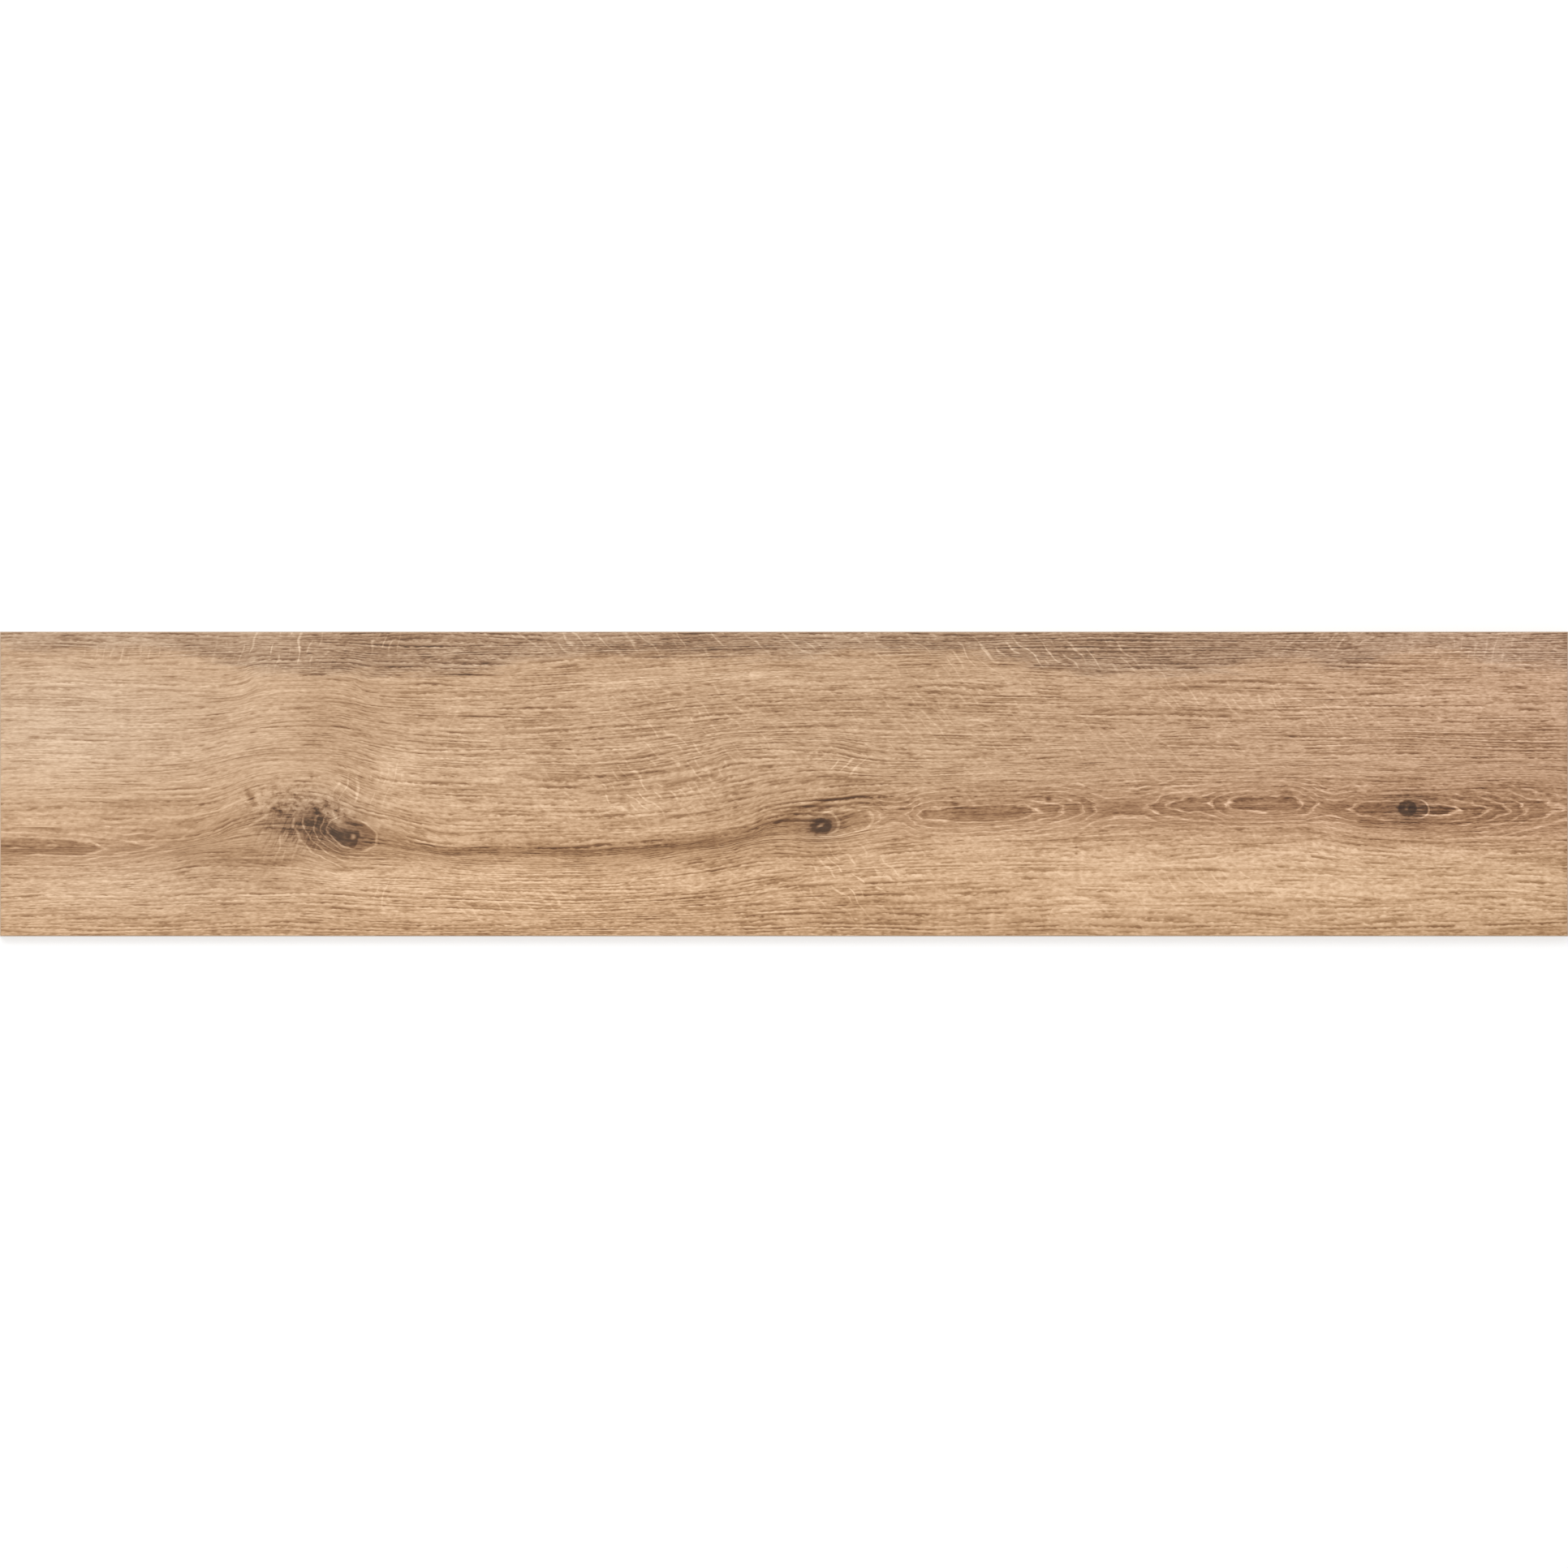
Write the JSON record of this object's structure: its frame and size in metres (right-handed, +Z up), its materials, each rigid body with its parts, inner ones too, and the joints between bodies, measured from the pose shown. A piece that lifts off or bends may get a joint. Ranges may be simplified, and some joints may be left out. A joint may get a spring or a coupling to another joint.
{
  "type": "wood look porcelain plank tile",
  "caption": "Long rectangular porcelain tile with a printed oak plank face, ground square edges and a keyed, ribbed back for bedding in adhesive.",
  "frame": {"origin": "middle of the back, on the plane of the bed ribs that the tile lies on", "axes": "+X along the plank, +Y across it, +Z up out of the printed face"},
  "size_m": [1.2, 0.233, 0.01],
  "materials": {
    "porcelain": "matte"
  },
  "bodies": {
    "root": {"plank_tile": "porcelain"}
  },
  "joints": []
}
